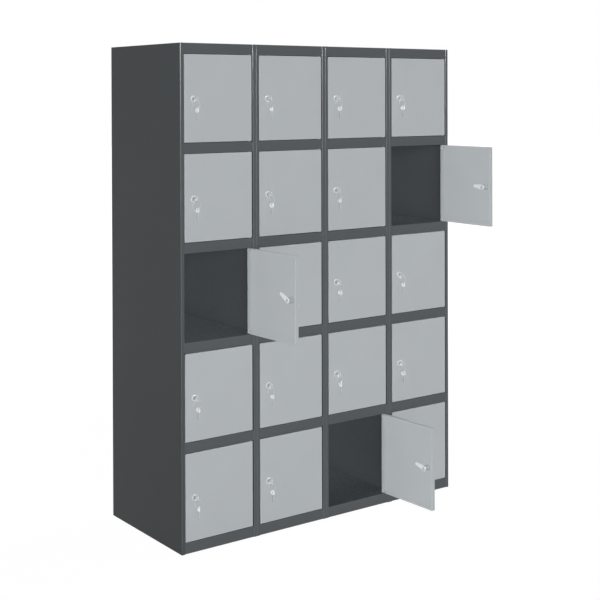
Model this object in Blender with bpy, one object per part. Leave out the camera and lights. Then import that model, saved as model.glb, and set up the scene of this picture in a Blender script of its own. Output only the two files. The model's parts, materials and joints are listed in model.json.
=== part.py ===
"""Steel locker with twenty small compartments: four columns of five tiers.

Metres, +Z up. The origin is on the floor under the middle of the carcass, the
doors face -Y and +X is to the right of someone who stands before them.
Columns count from the left and rows from the top.
"""

from math import cos, pi, radians, sin, tan

import bmesh
import bpy
from mathutils import Matrix, Vector

# Overall size and layout
WIDTH = 1.200
DEPTH = 0.490
HEIGHT = 1.700
COLUMNS = 4
TIERS = 5

# Sheet metal
SHEET = 0.0008
DIVIDER_WEB = 0.0016
BEND_RADIUS = 0.0018
SEAM_RADIUS = 0.0007
BEND_STEPS = 3
FIT = 0.0003

# Posts: the front flanges of the sides and dividers
LOCK_FLANGE = 0.0130
HINGE_FLANGE = 0.0118
FLANGE_RETURN = 0.0165
SEAM_WIDTH = 0.0014
SEAM_DEPTH = 0.0012
BACK_FLANGE = 0.0150

# Rails: the front edges of the top, the shelves and the bottom shelf
TOP_RAIL = 0.0355
SHELF_RAIL = 0.0340
BASE_RAIL = 0.0370
RAIL_SETBACK = 0.0008
RAIL_RETURN = 0.0200

# Base tray and back panel
TRAY_UPSTAND = 0.0150

# Doors: folded pans that turn on pins in the rails
DOOR_SHEET = 0.0010
DOOR_DEPTH = 0.0140
DOOR_LIP = 0.0085
HINGE_LIP = 0.0200
LOCK_GAP = 0.0016
HINGE_GAP = 0.0050
DOOR_GAP = 0.0020
PIVOT_INSET = 0.0050
PIVOT_DEPTH = 0.0070
PIN_RADIUS = 0.0025
PIN_CLEARANCE = 0.0004
PIN_REACH = 0.0045
PIN_SIDES = 8

# Cam locks with their keys
LOCK_INSET = 0.0355
LOCK_DROP = 0.0025
LOCK_FACE_RADIUS = 0.0110
LOCK_FACE_HEIGHT = 0.0025
LOCK_BODY_RADIUS = 0.0090
LOCK_NUT_RADIUS = 0.0120
LOCK_NUT_HEIGHT = 0.0050
LOCK_STEM_RADIUS = 0.0080
CAM_CLEARANCE = 0.0040
CAM_THICKNESS = 0.0020
CAM_REACH = 0.0450
CAM_ROOT_WIDTH = 0.0170
CAM_TIP_WIDTH = 0.0110
CAM_CORNER_SHARE = 0.7
KEY_THICKNESS = 0.0022
KEY_SHANK = 0.0040
KEY_SHANK_WIDTH = 0.0080
KEY_BOW_LENGTH = 0.0185
KEY_BOW_WIDTH = 0.0220
KEY_HOLE_RADIUS = 0.0035
KEY_HOLE_INSET = 0.0065
KEY_HOLE_SIDES = 6
KEY_CORNER_SHARE = 0.6
LOCK_SIDES = 12
LOCK_BEND_STEPS = 1

# Doors that stand open at rest, and how far their cams are turned up
OPEN_ANGLES = {(4, 2): radians(90), (1, 3): radians(92), (3, 5): radians(92)}
CAM_ANGLES = {(4, 2): radians(4), (1, 3): radians(27), (3, 5): radians(13)}

# Sizes that follow from the ones above
COLUMN_PITCH = WIDTH / COLUMNS
DOOR_WIDTH = COLUMN_PITCH - LOCK_FLANGE - LOCK_GAP - HINGE_GAP - HINGE_FLANGE
RAILS_AND_GAPS = TOP_RAIL + BASE_RAIL + (TIERS - 1) * SHELF_RAIL + 2 * TIERS * DOOR_GAP
DOOR_HEIGHT = (HEIGHT - RAILS_AND_GAPS) / TIERS
TIER_PITCH = DOOR_HEIGHT + 2 * DOOR_GAP + SHELF_RAIL
FRONT = -DEPTH / 2
BACK = DEPTH / 2
BACK_PANEL_REAR = BACK - SHEET - FIT
BACK_PANEL_FRONT = BACK_PANEL_REAR - SHEET
INNER_BACK = BACK_PANEL_FRONT - FIT
LAP = (FRONT + BACK) / 2
CAM_FRONT = DOOR_DEPTH + CAM_CLEARANCE
OVERRUN = 0.0100


def column_left(column):
    """X of a column's left boundary."""
    return -WIDTH / 2 + (column - 1) * COLUMN_PITCH


def door_top(row):
    """Z of the upper edge of a row's doors."""
    return HEIGHT - TOP_RAIL - DOOR_GAP - (row - 1) * TIER_PITCH


def door_hinge_edge(column):
    """X of the hinge edge of a column's closed doors."""
    return column_left(column) + LOCK_FLANGE + LOCK_GAP + DOOR_WIDTH


def pivot_x(column):
    """X of the pins that a column's doors turn on."""
    return door_hinge_edge(column) - PIVOT_INSET


def paint(name, colour, roughness, metallic):
    """A plain surface finish."""
    material = bpy.data.materials.new(name)
    material.use_nodes = True
    shader = material.node_tree.nodes["Principled BSDF"]
    shader.inputs["Base Color"].default_value = (*colour, 1.0)
    shader.inputs["Roughness"].default_value = roughness
    shader.inputs["Metallic"].default_value = metallic
    return material


def rounded(corners, steps=BEND_STEPS):
    """An outline's points, with an arc where a corner (x, y, radius) has a radius."""
    points = []
    count = len(corners)
    for i, (x, y, radius) in enumerate(corners):
        corner = Vector((x, y))
        if not radius:
            points.append(corner)
            continue
        to_last = (Vector(corners[i - 1][:2]) - corner).normalized()
        to_next = (Vector(corners[(i + 1) % count][:2]) - corner).normalized()
        half = to_last.angle(to_next) / 2
        centre = corner + (to_last + to_next).normalized() * (radius / sin(half))
        arm = corner + to_last * (radius / tan(half)) - centre
        turn = to_last.cross(to_next)
        sweep = (pi - 2 * half) * (-1 if turn > 0 else 1)
        for step in range(steps + 1):
            swing = Matrix.Rotation(sweep * step / steps, 2)
            points.append(centre + swing @ arm)
    return points


def circle(x, y, radius, sides):
    """The points of a round outline."""
    arm = Vector((radius, 0))
    return [Vector((x, y)) + Matrix.Rotation(2 * pi * i / sides, 2) @ arm for i in range(sides)]


def rectangle(x0, x1, y0, y1):
    """The points of a rectangular outline."""
    return [Vector(point) for point in ((x0, y0), (x1, y0), (x1, y1), (x0, y1))]


def upright(x, y, along):
    """Places a plan outline, extruded along Z."""
    return x, y, along


def crosswise(y, z, along):
    """Places a side outline, extruded along X."""
    return along, y, z


def lengthwise(x, z, along):
    """Places a front outline, extruded along Y."""
    return x, along, z


def prism(outline, start, end, place):
    """A closed body: an outline extruded from start to end."""
    body = bmesh.new()
    near = [body.verts.new(place(x, y, start)) for x, y in outline]
    far = [body.verts.new(place(x, y, end)) for x, y in outline]
    body.faces.new(near)
    body.faces.new(far)
    for i, vertex in enumerate(near):
        body.faces.new((near[i - 1], vertex, far[i], far[i - 1]))
    bmesh.ops.recalc_face_normals(body, faces=body.faces)
    return body


def turned(profile, sides):
    """A closed body turned about Y from (radius, y) points that run from end to end."""
    body = bmesh.new()
    rings = []
    for radius, y in profile:
        rings.append([body.verts.new((x, y, z)) for x, z in circle(0, 0, radius, sides)])
    for near, far in zip(rings, rings[1:]):
        for i in range(sides):
            body.faces.new((near[i - 1], near[i], far[i], far[i - 1]))
    body.faces.new(rings[0])
    body.faces.new(rings[-1])
    bmesh.ops.recalc_face_normals(body, faces=body.faces)
    return body


def combined(base, steps):
    """The mesh of a body after each (operation, body) step of union or difference."""
    helpers = []
    for body in (base, *(step[1] for step in steps)):
        mesh = bpy.data.meshes.new("shape")
        body.to_mesh(mesh)
        body.free()
        helper = bpy.data.objects.new("shape", mesh)
        bpy.context.scene.collection.objects.link(helper)
        helpers.append(helper)
    for (operation, _), helper in zip(steps, helpers[1:]):
        modifier = helpers[0].modifiers.new("shape", "BOOLEAN")
        modifier.operation = operation
        modifier.object = helper
    view = bpy.context.evaluated_depsgraph_get()
    result = bpy.data.meshes.new_from_object(helpers[0].evaluated_get(view))
    for helper in helpers:
        bpy.data.objects.remove(helper)
    return result


def joined(shapes):
    """Several bodies that stay apart, as one cutter."""
    cutter = bmesh.new()
    for shape in shapes:
        mesh = bpy.data.meshes.new("shape")
        shape.to_mesh(mesh)
        shape.free()
        cutter.from_mesh(mesh)
        bpy.data.meshes.remove(mesh)
    return cutter


def boxes(spans):
    """Boxes as one cutter, each given as ((x0, x1), (y0, y1), (z0, z1))."""
    return joined(prism(rectangle(*xs, *ys), *zs, upright) for xs, ys, zs in spans)


def pin_cutters(z0, z1):
    """The holes for the pins of every column between two heights, as one cutter."""
    y = FRONT + PIVOT_DEPTH
    radius = PIN_RADIUS + PIN_CLEARANCE
    places = [pivot_x(column) for column in range(1, COLUMNS + 1)]
    return joined(prism(circle(x, y, radius, PIN_SIDES), z0, z1, upright) for x in places)


def add(name, mesh, material, parent, location=(0, 0, 0)):
    """Puts a named sub-part into the scene."""
    mesh.materials.clear()
    mesh.materials.append(material)
    piece = bpy.data.objects.new(name, mesh)
    bpy.context.scene.collection.objects.link(piece)
    piece.parent = parent
    piece.location = location
    return piece


def mesh_of(body):
    """A body's mesh, as it is."""
    return combined(body, [])


def side_section(x, inward, flange):
    """Plan outline of a side: outer sheet, front flange with its return, back flange."""
    def at(reach, y, radius=0):
        return x + inward * reach, y, radius

    return rounded([
        at(0, FRONT, BEND_RADIUS),
        at(flange, FRONT, BEND_RADIUS),
        at(flange, FRONT + FLANGE_RETURN),
        at(flange - SHEET, FRONT + FLANGE_RETURN),
        at(flange - SHEET, FRONT + SHEET),
        at(SHEET, FRONT + SHEET),
        at(SHEET, BACK - SHEET),
        at(BACK_FLANGE, BACK - SHEET),
        at(BACK_FLANGE, BACK),
        at(0, BACK, BEND_RADIUS),
    ])


def divider_section(x):
    """Plan outline of a divider: two front flanges that meet in a seam, and the web."""
    web = DIVIDER_WEB / 2
    seam = SEAM_WIDTH / 2
    rear = FRONT + FLANGE_RETURN
    return rounded([
        (x - HINGE_FLANGE, rear, 0),
        (x - HINGE_FLANGE, FRONT, BEND_RADIUS),
        (x - seam, FRONT, SEAM_RADIUS),
        (x, FRONT + SEAM_DEPTH, 0),
        (x + seam, FRONT, SEAM_RADIUS),
        (x + LOCK_FLANGE, FRONT, BEND_RADIUS),
        (x + LOCK_FLANGE, rear, 0),
        (x + LOCK_FLANGE - SHEET, rear, 0),
        (x + LOCK_FLANGE - SHEET, FRONT + SHEET, 0),
        (x + web, FRONT + SHEET, 0),
        (x + web, INNER_BACK, 0),
        (x - web, INNER_BACK, 0),
        (x - web, FRONT + SHEET, 0),
        (x - HINGE_FLANGE + SHEET, FRONT + SHEET, 0),
        (x - HINGE_FLANGE + SHEET, rear, 0),
    ])


def shelf_tops():
    """Z of the upper face of each shelf, from the highest to the bottom shelf."""
    return [door_top(row) - DOOR_HEIGHT - DOOR_GAP for row in range(1, TIERS + 1)]


def divider(x):
    """A divider, cut away for the top, the base tray and the shelves that lap it."""
    across = (x - OVERRUN, x + OVERRUN)
    behind_post = (FRONT + FLANGE_RETURN + FIT, BACK)
    cuts = [
        (across, behind_post, (HEIGHT - SHEET - FIT, HEIGHT + OVERRUN)),
        (across, behind_post, (-OVERRUN, SHEET + FIT)),
    ]
    for top in shelf_tops():
        cuts.append((across, (LAP, BACK), (top - SHEET - FIT, top + FIT)))
    return combined(prism(divider_section(x), 0, HEIGHT, upright), [("DIFFERENCE", boxes(cuts))])


def rail_ends(column):
    """X of the two ends of a column's rail, between the returns of its flanges."""
    left = column_left(column)
    return left + LOCK_FLANGE + FIT, left + COLUMN_PITCH - HINGE_FLANGE - FIT


def plan_sheet(slot_end, rear):
    """Plan outline of a full-width sheet behind the posts, with a slot at each divider."""
    behind_post = FRONT + FLANGE_RETURN + FIT
    slot = DIVIDER_WEB / 2 + FIT
    side = WIDTH / 2 - SHEET - FIT
    points = [(-side, rear), (-side, behind_post)]
    if slot_end > behind_post:
        for column in range(2, COLUMNS + 1):
            x = column_left(column)
            points += [(x - slot, behind_post), (x - slot, slot_end)]
            points += [(x + slot, slot_end), (x + slot, behind_post)]
    points += [(side, behind_post), (side, rear)]
    return [Vector(point) for point in points]


def rail_section(top, height):
    """Side outline of a rail: top edge, front face and the return at its foot."""
    face = FRONT + RAIL_SETBACK
    rear = FRONT + RAIL_RETURN
    foot = top - height
    return rounded([
        (rear, top, 0),
        (face, top, BEND_RADIUS),
        (face, foot, BEND_RADIUS),
        (rear, foot, 0),
        (rear, foot + SHEET, 0),
        (face + SHEET, foot + SHEET, 0),
        (face + SHEET, top - SHEET, 0),
        (rear, top - SHEET, 0),
    ])


def railed_sheet(top, height, slot_end, rear, holes):
    """A full-width sheet whose front is folded down into a rail in each column."""
    sheet = prism(plan_sheet(slot_end, rear), top - SHEET, top, upright)
    steps = []
    for column in range(1, COLUMNS + 1):
        rail = prism(rail_section(top, height), *rail_ends(column), crosswise)
        steps.append(("UNION", rail))
    steps.append(("DIFFERENCE", pin_cutters(*holes)))
    return combined(sheet, steps)


def top_panel():
    """The top, with the rail above the highest doors."""
    foot = HEIGHT - TOP_RAIL
    rear = BACK - SHEET - FIT
    return railed_sheet(HEIGHT, TOP_RAIL, FRONT, rear, (foot - OVERRUN, foot + PIN_REACH))


def shelf(top):
    """A shelf between two tiers, lapped with the dividers halfway back."""
    holes = (top - SHELF_RAIL - OVERRUN, top + OVERRUN)
    return railed_sheet(top, SHELF_RAIL, LAP + FIT, INNER_BACK, holes)


def bottom_shelf():
    """The floor of the lowest tier, whose rail reaches down to the floor."""
    holes = (BASE_RAIL - PIN_REACH, BASE_RAIL + OVERRUN)
    return railed_sheet(BASE_RAIL, BASE_RAIL, LAP + FIT, INNER_BACK, holes)


def base_tray():
    """The sheet under the locker, turned up along its four edges."""
    side = WIDTH / 2 - SHEET - FIT
    front = FRONT + RAIL_RETURN + FIT
    block = prism(rectangle(-side, side, front, INNER_BACK), 0, TRAY_UPSTAND, upright)
    above = (SHEET, TRAY_UPSTAND + OVERRUN)
    hollow = ((-side + SHEET, side - SHEET), (front + SHEET, INNER_BACK - SHEET), above)
    webs = []
    for column in range(2, COLUMNS + 1):
        x = column_left(column)
        slot = DIVIDER_WEB / 2 + FIT
        for edge in (front, INNER_BACK - SHEET):
            webs.append(((x - slot, x + slot), (edge - FIT, edge + SHEET + FIT), above))
    return combined(block, [("DIFFERENCE", boxes([hollow])), ("DIFFERENCE", boxes(webs))])


def back_panel():
    """The back, held between the back flanges and the shelves."""
    side = WIDTH / 2 - SHEET - FIT
    outline = rectangle(-side, side, BACK_PANEL_FRONT, BACK_PANEL_REAR)
    return mesh_of(prism(outline, 0, HEIGHT - SHEET - FIT, upright))


def door_ring(body, depth, inset, hinge_inset):
    """A rectangular ring of a door pan's surface, inset from the door's four edges."""
    left = PIVOT_INSET - DOOR_WIDTH + inset
    right = PIVOT_INSET - hinge_inset
    low = inset
    high = DOOR_HEIGHT - inset
    y = depth - PIVOT_DEPTH
    corners = ((left, low), (right, low), (right, high), (left, high))
    return [body.verts.new((x, y, z)) for x, z in corners]


def door_pan():
    """The folded pan of a door: face, four returns and four lips, as one body."""
    body = bmesh.new()
    rings = []
    for step in range(BEND_STEPS + 1):
        swing = pi / 2 * step / BEND_STEPS
        inset = BEND_RADIUS * (1 - sin(swing))
        depth = BEND_RADIUS * (1 - sin(pi / 2 - swing))
        rings.append(door_ring(body, depth, inset, inset))
    inner = DOOR_DEPTH - DOOR_SHEET
    rings.append(door_ring(body, DOOR_DEPTH, 0, 0))
    rings.append(door_ring(body, DOOR_DEPTH, DOOR_LIP, HINGE_LIP))
    rings.append(door_ring(body, inner, DOOR_LIP, HINGE_LIP))
    rings.append(door_ring(body, inner, DOOR_SHEET, DOOR_SHEET))
    rings.append(door_ring(body, DOOR_SHEET, DOOR_SHEET, DOOR_SHEET))
    for near, far in zip(rings, rings[1:]):
        for i in range(len(near)):
            body.faces.new((near[i - 1], near[i], far[i], far[i - 1]))
    body.faces.new(rings[0])
    body.faces.new(rings[-1])
    bmesh.ops.recalc_face_normals(body, faces=body.faces)
    return body


def door_pin(z0, z1):
    """A pin on the door's axis."""
    return prism(circle(0, 0, PIN_RADIUS, PIN_SIDES), z0, z1, upright)


def lock_place():
    """X and Z of the lock in a door, from the foot of the door's axis."""
    return PIVOT_INSET - DOOR_WIDTH + LOCK_INSET, DOOR_HEIGHT / 2 - LOCK_DROP


def door():
    """A door with its lock hole and the two pins welded into its returns."""
    x, z = lock_place()
    hole = circle(x, z, (LOCK_BODY_RADIUS + FIT) / cos(pi / LOCK_SIDES), LOCK_SIDES)
    cutter = prism(hole, -PIVOT_DEPTH - OVERRUN, DOOR_DEPTH / 2 - PIVOT_DEPTH, lengthwise)
    weld = DOOR_SHEET / 2
    lower = door_pin(-PIN_REACH, weld)
    upper = door_pin(DOOR_HEIGHT - weld, DOOR_HEIGHT + PIN_REACH)
    return combined(door_pan(), [("UNION", lower), ("UNION", upper), ("DIFFERENCE", cutter)])


def lock_barrel():
    """Face, body, nut and stem, turned about the lock's axis."""
    nut_front = DOOR_SHEET + FIT
    nut_rear = nut_front + LOCK_NUT_HEIGHT
    return turned([
        (LOCK_FACE_RADIUS, -LOCK_FACE_HEIGHT),
        (LOCK_FACE_RADIUS, -FIT),
        (LOCK_BODY_RADIUS, -FIT),
        (LOCK_BODY_RADIUS, nut_front),
        (LOCK_NUT_RADIUS, nut_front),
        (LOCK_NUT_RADIUS, nut_rear),
        (LOCK_STEM_RADIUS, nut_rear),
        (LOCK_STEM_RADIUS, CAM_FRONT + CAM_THICKNESS / 2),
    ], LOCK_SIDES)


def cam():
    """The flat tongue that catches behind the lock flange, pointing to the hinge."""
    root = CAM_ROOT_WIDTH / 2
    tip = CAM_TIP_WIDTH / 2
    outline = rounded([
        (-root, -root, root * CAM_CORNER_SHARE),
        (root, -root, 0),
        (CAM_REACH, -tip, tip * CAM_CORNER_SHARE),
        (CAM_REACH, tip, tip * CAM_CORNER_SHARE),
        (root, root, 0),
        (-root, root, root * CAM_CORNER_SHARE),
    ], LOCK_BEND_STEPS)
    return prism(outline, CAM_FRONT, CAM_FRONT + CAM_THICKNESS, lengthwise)


def key():
    """The part of a key that stands out of the lock: shank and bow with its eye."""
    shank = KEY_SHANK_WIDTH / 2
    bow = KEY_BOW_WIDTH / 2
    start = -LOCK_FACE_HEIGHT / 2
    neck = -LOCK_FACE_HEIGHT - KEY_SHANK
    tip = neck - KEY_BOW_LENGTH
    corner = bow * KEY_CORNER_SHARE
    outline = rounded([
        (start, -shank, 0),
        (start, shank, 0),
        (neck, shank, 0),
        (neck, bow, corner),
        (tip, bow, corner),
        (tip, -bow, corner),
        (neck, -bow, corner),
        (neck, -shank, 0),
    ], LOCK_BEND_STEPS)
    return prism(outline, -KEY_THICKNESS / 2, KEY_THICKNESS / 2, crosswise)


def key_eye():
    """The hole in the bow that the ring goes through."""
    y = -LOCK_FACE_HEIGHT - KEY_SHANK - KEY_BOW_LENGTH + KEY_HOLE_INSET
    return prism(circle(y, 0, KEY_HOLE_RADIUS, KEY_HOLE_SIDES), -OVERRUN, OVERRUN, crosswise)


def cam_lock():
    """All of a lock that turns, with its cam and its key."""
    steps = [("UNION", cam()), ("UNION", key()), ("DIFFERENCE", key_eye())]
    return combined(lock_barrel(), steps)


def build():
    """Makes every sub-part at its place."""
    frame_paint = paint("dark_grey_paint", (0.088, 0.099, 0.106), 0.45, 0.0)
    door_paint = paint("light_grey_paint", (0.407, 0.434, 0.451), 0.45, 0.0)
    plated = paint("plated_lock", (0.62, 0.62, 0.62), 0.25, 1.0)

    locker = bpy.data.objects.new("locker", None)
    bpy.context.scene.collection.objects.link(locker)

    left = side_section(-WIDTH / 2, 1, LOCK_FLANGE)
    right = side_section(WIDTH / 2, -1, HINGE_FLANGE)
    add("side_left", mesh_of(prism(left, 0, HEIGHT, upright)), frame_paint, locker)
    add("side_right", mesh_of(prism(right, 0, HEIGHT, upright)), frame_paint, locker)
    for column in range(2, COLUMNS + 1):
        add(f"divider_{column - 1}", divider(column_left(column)), frame_paint, locker)
    add("back_panel", back_panel(), frame_paint, locker)
    add("top_panel", top_panel(), frame_paint, locker)
    add("base_tray", base_tray(), frame_paint, locker)
    *between, _ = shelf_tops()
    for row, top in enumerate(between, start=1):
        add(f"shelf_{row}", shelf(top), frame_paint, locker)
    add("bottom_shelf", bottom_shelf(), frame_paint, locker)

    door_mesh = door()
    lock_mesh = cam_lock()
    lock_x, lock_z = lock_place()
    for column in range(1, COLUMNS + 1):
        for row in range(1, TIERS + 1):
            axis = (pivot_x(column), FRONT + PIVOT_DEPTH, door_top(row) - DOOR_HEIGHT)
            leaf = add(f"door_c{column}_r{row}", door_mesh, door_paint, locker, axis)
            leaf.rotation_euler.z = OPEN_ANGLES.get((column, row), 0)
            place = (lock_x, -PIVOT_DEPTH, lock_z)
            lock = add(f"cam_lock_c{column}_r{row}", lock_mesh, plated, leaf, place)
            lock.rotation_euler.y = -CAM_ANGLES.get((column, row), 0)


for leftover in list(bpy.data.objects):
    bpy.data.objects.remove(leftover)
build()
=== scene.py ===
"""Looks of a sheet-steel compartment locker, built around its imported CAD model.

Metres, +Z up, the doors face -Y. Columns count from the left and rows from the top. A door is drawn closed,
from the foot of its hinge line. A lock is drawn from the point where its axis meets the door's face, with +Y
towards the back.
"""

import json
from math import cos, pi, radians, sin, tan

import bmesh
import bpy
from mathutils import Matrix, Vector

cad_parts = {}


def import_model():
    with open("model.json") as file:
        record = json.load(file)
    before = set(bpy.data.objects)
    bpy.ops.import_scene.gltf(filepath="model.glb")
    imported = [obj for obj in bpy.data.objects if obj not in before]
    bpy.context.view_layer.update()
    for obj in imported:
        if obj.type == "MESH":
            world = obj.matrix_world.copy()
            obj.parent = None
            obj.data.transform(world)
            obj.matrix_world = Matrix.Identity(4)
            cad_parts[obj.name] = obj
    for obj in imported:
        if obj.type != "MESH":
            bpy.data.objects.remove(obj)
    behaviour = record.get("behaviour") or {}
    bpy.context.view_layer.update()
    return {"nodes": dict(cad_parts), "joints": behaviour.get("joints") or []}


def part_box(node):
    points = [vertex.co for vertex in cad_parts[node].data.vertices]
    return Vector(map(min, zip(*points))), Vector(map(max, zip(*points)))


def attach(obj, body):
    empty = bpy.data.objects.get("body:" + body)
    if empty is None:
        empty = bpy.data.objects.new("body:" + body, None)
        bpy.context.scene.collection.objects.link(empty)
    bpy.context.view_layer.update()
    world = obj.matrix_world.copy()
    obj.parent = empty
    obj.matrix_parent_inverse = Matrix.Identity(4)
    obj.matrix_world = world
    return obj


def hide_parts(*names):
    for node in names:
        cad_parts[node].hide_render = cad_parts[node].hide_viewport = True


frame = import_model()

# Layout, as in the CAD
COLUMNS, TIERS = 4, 5
JOINTS = {joint["name"]: joint for joint in frame["joints"]}
FIRST_LOW, FIRST_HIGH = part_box("door_c1_r1")
FIRST_PIVOT = Vector(JOINTS["door_c1_r1_hinge"]["pos_m"])
PIN_REACH = 0.0045
DOOR_WIDTH = FIRST_HIGH.x - FIRST_LOW.x
DOOR_DEPTH = FIRST_HIGH.y - FIRST_LOW.y
DOOR_HEIGHT = FIRST_HIGH.z - FIRST_LOW.z - 2 * PIN_REACH
PIVOT_INSET = FIRST_HIGH.x - FIRST_PIVOT.x
PIVOT_DEPTH = FIRST_PIVOT.y - FIRST_LOW.y
DOOR_LEFT = PIVOT_INSET - DOOR_WIDTH
FIRST_LOCK = Vector(JOINTS["lock_c1_r1_turn"]["pos_m"]) - FIRST_PIVOT

# Carcass, as in the CAD
SIDE_LOW, SIDE_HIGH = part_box("side_left")
FRONT, BACK = SIDE_LOW.y, SIDE_HIGH.y
WIDTH = -2 * SIDE_LOW.x
HEIGHT = SIDE_HIGH.z
PITCH = WIDTH / COLUMNS
SHELF_TOPS = [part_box(f"shelf_{row}")[1].z for row in range(1, TIERS)] + [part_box("bottom_shelf")[1].z]
INNER_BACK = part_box("shelf_1")[1].y
TOP_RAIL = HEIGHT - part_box("top_panel")[0].z
SHELF_RAIL = 0.0340
BASE_RAIL = SHELF_TOPS[-1]
RAIL_SETBACK = 0.0008
RAIL_RETURN = 0.0200
LOCK_FLANGE = 0.0130
HINGE_FLANGE = 0.0118
FLANGE_RETURN = 0.0165
BACK_FLANGE = 0.0150
DIVIDER_WEB = 0.0016
SHEET = 0.0008
FIT = 0.0003

# Finer forms of the carcass
SHEET_BEND = 0.0018
INNER_BEND = 0.0009
SEAM_SHIFT = 0.0020
SEAM_SLOT = 0.0014
SEAM_DEPTH = 0.0045
SEAM_LEFT_BEND = 0.0010
SEAM_RIGHT_BEND = 0.0013
CAP_DROP = 0.0004
CAP_CORNER = 0.0010

# Where slots of dividers and sheets meet, a small clearance, how far a cutter runs past what it cuts, and
# how close two points of a cut mesh are one
LAP = 0.0
CLEAR = 0.0002
OVERRUN = 0.0100
DOUBLE = 1e-6

# Door pans
DOOR_SHEET = 0.0010
DOOR_BEND = 0.0012
DOOR_CORNER = 0.0024
LEAST_CORNER = 0.0003
LIP_BEND = 0.0012
LIP = 0.0085
HINGE_LIP = 0.0200
MITRE = 0.0008
MITRE_START = 0.0005
NOTCH_HEIGHT = 0.0150
BEND_STEPS = 6
CORNER_STEPS = 4

# Hinge pins with the plates that hold them
PIN_RADIUS = 0.0025
PIN_TAIL = 0.0115
PIN_HOLE_GAP = 0.0004
PIN_SIDES = 24
COLLAR_RADIUS = 0.0042
COLLAR_FOOT = 0.0010
COLLAR_HEAD = 0.0046
COLLAR_EDGE = 0.0004
PLATE_WIDTH = 0.0110
PLATE_THICKNESS = 0.0012
PLATE_CORNER = 0.0010

# Locks
LOCK_SIDES = 40
FACE_RADIUS = 0.0110
FACE_HEIGHT = 0.0025
PLUG_RADIUS = 0.0068
KEYWAY_WIDTH = 0.0030
KEYWAY_LENGTH = 0.0092
KEYWAY_DEPTH = 0.0012
BARREL_RADIUS = 0.0090
BARREL_GAP = 0.0018
THREAD_START = 0.0016
THREAD_DEPTH = 0.0005
THREAD_PITCH = 0.0012
NUT_RADIUS = 0.0120
NUT_FRONT = DOOR_SHEET + 0.0003
NUT_HEIGHT = 0.0050
NUT_EDGE = 0.0007
CAM_FRONT = 0.0180
CAM_THICKNESS = 0.0020
CAM_REACH = 0.0450
CAM_ROOT = 0.0085
CAM_TIP = 0.0055
CAM_WAIST_BEND = 0.0060
BOLT_RADIUS = 0.0050
BOLT_HEIGHT = 0.0028
BOLT_NECK_RADIUS = 0.0070
BOLT_NECK_LENGTH = 0.0020
WASHER_RADIUS = 0.0065
WASHER_HEIGHT = 0.0008
WASHER_BORE = 0.0020

# Keys and their rings
KEY_THICKNESS = 0.0022
KEY_EDGE = 0.0003
KEY_START = 0.0004 - FACE_HEIGHT
KEY_NECK = 0.0095
KEY_SHANK_WIDTH = 0.0080
BOW_LENGTH = 0.0155
BOW_WIDTH = 0.0220
BOW_END = 0.0040
KEY_EYE = 0.0040
EYE_INSET = 0.0062
EYE_SIDES = 24
BLADE_LENGTH = 0.0250
BLADE_THICKNESS = 0.0018
BLADE_POINT = 0.0012
BLADE_SLANT = 0.0030
TEETH = (0.0000, 0.0016, 0.0006, 0.0022, 0.0010, 0.0018, 0.0004, 0.0014)
TEETH_START = 0.0040
TEETH_MARGIN = 0.0060
RING_RADIUS = 0.0145
RING_SLIP = radians(12)
KEY_SWING = radians(7)
WIRE_RADIUS = 0.0006

# Camera: lengths in pixels of a square frame, its spot in metres, angles in radians and the sensor in mm
FRAME_SIZE = 600
FOCAL, CENTRE_Y = 1222.13522, 106.92389
CAMERA_SPOT = Vector((-2.6625, -3.7370, 1.5211))
CAMERA_YAW, CAMERA_TILT, CAMERA_ROLL = 0.63107, 0.00873, -0.00288
SENSOR = 36.0

# Studio
AMBIENT = 0.14
FLOOR_REACH = 30.0
FLOOR_GLOW = 1.12
FLOOR_GLOW_SHARE = 0.86
FADE_START, FADE_END = 1.6, 3.6
SUN_ANGLE = radians(24)

# Groups of pieces that lamps are linked to
CARCASS_PIECES = bpy.data.collections.new("carcass_pieces")
INNER_PIECES = bpy.data.collections.new("inner_pieces")
DOOR_PIECES = bpy.data.collections.new("door_pieces")
SIDE_PIECES = bpy.data.collections.new("side_pieces")
KEY_PIECES = bpy.data.collections.new("key_lit_pieces")
METAL_PIECES = bpy.data.collections.new("metal_pieces")


def rounded(corners, steps):
    """An outline's points, with an arc where a corner (x, y, radius) has a radius."""
    points = []
    count = len(corners)
    for i, (x, y, radius) in enumerate(corners):
        corner = Vector((x, y))
        if not radius:
            points.append(corner)
            continue
        to_last = (Vector(corners[i - 1][:2]) - corner).normalized()
        to_next = (Vector(corners[(i + 1) % count][:2]) - corner).normalized()
        half = to_last.angle(to_next) / 2
        centre = corner + (to_last + to_next).normalized() * (radius / sin(half))
        arm = corner + to_last * (radius / tan(half)) - centre
        sweep = (pi - 2 * half) * (-1 if to_last.cross(to_next) > 0 else 1)
        for step in range(steps + 1):
            points.append(centre + Matrix.Rotation(sweep * step / steps, 2) @ arm)
    return points


def circle(x, y, radius, sides, start=0.0):
    """The points of a round outline."""
    arm = Vector((radius, 0))
    turns = [start + 2 * pi * i / sides for i in range(sides)]
    return [Vector((x, y)) + Matrix.Rotation(turn, 2) @ arm for turn in turns]


def shrunk(outline, amount):
    """An outline whose points are all drawn an amount towards its centre."""
    centre = sum(outline, Vector((0, 0))) / len(outline)
    points = []
    for point in outline:
        arm = point - centre
        points.append(centre + arm * max(0.0, 1 - amount / max(arm.length, 1e-6)))
    return points


def skin(rings, closed_ends=True):
    """A body from rings of points, each joined to the next."""
    body = bmesh.new()
    rows = [[body.verts.new(point) for point in ring] for ring in rings]
    for near, far in zip(rows, rows[1:]):
        for i in range(len(near)):
            body.faces.new((near[i - 1], near[i], far[i], far[i - 1]))
    if closed_ends:
        body.faces.new(rows[0])
        body.faces.new(rows[-1])
    bmesh.ops.recalc_face_normals(body, faces=body.faces)
    return body


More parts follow.
